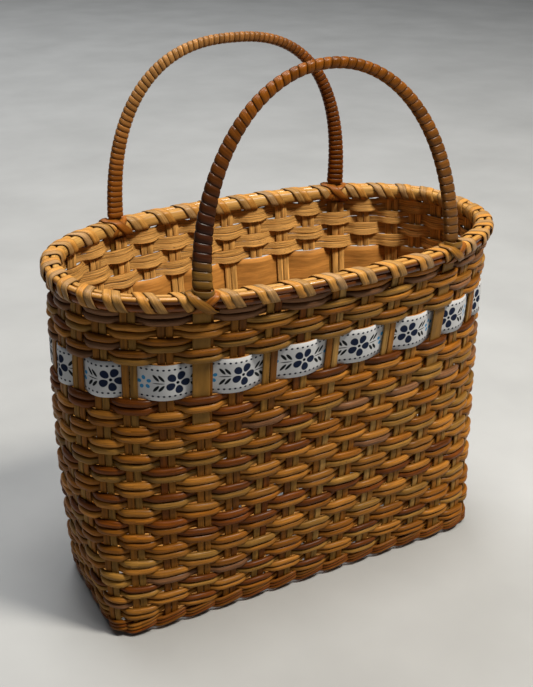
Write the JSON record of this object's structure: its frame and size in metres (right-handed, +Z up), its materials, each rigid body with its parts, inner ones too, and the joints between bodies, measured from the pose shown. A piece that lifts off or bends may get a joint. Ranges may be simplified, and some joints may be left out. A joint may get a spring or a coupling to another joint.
{
  "type": "woven cane handled basket",
  "caption": "Tall oblong carrying basket woven from split cane, with a lashed oval rim, upright cane-wound arch handles and a flower-printed ribbon band.",
  "frame": {"origin": "middle of the base on the floor", "axes": "+Z up, X along the long side, -Y towards the front, the handle nearer the viewer in the picture"},
  "size_m": [0.319, 0.1752, 0.3734],
  "materials": {
    "stake_reed": "pairs of flat peeled reed, warm tan with fine lengthwise grain, satin",
    "weaver_reed": "half-round reed, oiled and smoke-dyed in honey, russet and olive tones, glossy outside",
    "foot_reed": "thin round-backed reed, dark honey, satin",
    "wood_strip": "plain shaved wood strip, pale tan, matt",
    "printed_ribbon": "pale blue-grey woven ribbon printed with small navy flowers and leaf sprigs, matt",
    "rim_cane_dark": "round cane with its skin left on, dark brown, glossy",
    "rim_cane_red": "round cane with its skin left on, red-brown, glossy",
    "rim_half_round": "half-round cane, pale yellow, satin",
    "lashing_cane": "flat glossy cane binding in golden and greyish tan",
    "knot_cane": "flat cane binding, brown and olive, glossy",
    "handle_strip": "stout split cane, olive tan, satin",
    "handle_wrap_cane": "flat cane winding, red-brown to orange-tan, glossy"
  },
  "bodies": {
    "root": {"cross_stake_01": "stake_reed", "cross_stake_02": "stake_reed", "cross_stake_03": "stake_reed", "cross_stake_04": "stake_reed", "cross_stake_05": "stake_reed", "cross_stake_06": "stake_reed", "cross_stake_07": "stake_reed", "cross_stake_08": "stake_reed", "cross_stake_09": "stake_reed", "cross_stake_10": "stake_reed", "cross_stake_11": "stake_reed", "cross_stake_12": "stake_reed", "cross_stake_13": "stake_reed", "end_stake_01": "stake_reed", "end_stake_02": "stake_reed", "end_stake_03": "stake_reed", "end_stake_04": "stake_reed", "end_stake_05": "stake_reed", "end_stake_06": "stake_reed", "foot_twine_strand_a": "foot_reed", "foot_twine_strand_b": "foot_reed", "lower_weaver_01": "weaver_reed", "lower_weaver_02": "weaver_reed", "lower_weaver_03": "weaver_reed", "lower_weaver_04": "weaver_reed", "lower_weaver_05": "weaver_reed", "lower_weaver_06": "weaver_reed", "lower_weaver_07": "weaver_reed", "lower_weaver_08": "weaver_reed", "lower_weaver_09": "weaver_reed", "lower_weaver_10": "weaver_reed", "lower_weaver_11": "weaver_reed", "lower_weaver_12": "weaver_reed", "lower_weaver_13": "weaver_reed", "lower_weaver_14": "weaver_reed", "lower_weaver_15": "weaver_reed", "lower_weaver_16": "weaver_reed", "lower_weaver_17": "weaver_reed", "upper_weaver_01": "weaver_reed", "upper_weaver_02": "weaver_reed", "upper_weaver_03": "weaver_reed", "upper_weaver_04": "weaver_reed", "band_backing_strip": "wood_strip", "band_ribbon": "printed_ribbon", "rim_outer_cane_upper": "rim_cane_dark", "rim_outer_cane_lower": "rim_cane_red", "rim_inner_half_round": "rim_half_round", "rim_lashing_front": "lashing_cane", "rim_lashing_right": "lashing_cane", "rim_lashing_back": "lashing_cane", "rim_lashing_left": "lashing_cane", "knot_front_left": "knot_cane", "knot_front_right": "knot_cane", "knot_back_right": "knot_cane", "knot_back_left": "knot_cane", "front_handle_core": "handle_strip", "back_handle_core": "handle_strip", "front_handle_wrap": "handle_wrap_cane", "back_handle_wrap": "handle_wrap_cane"}
  },
  "joints": []
}
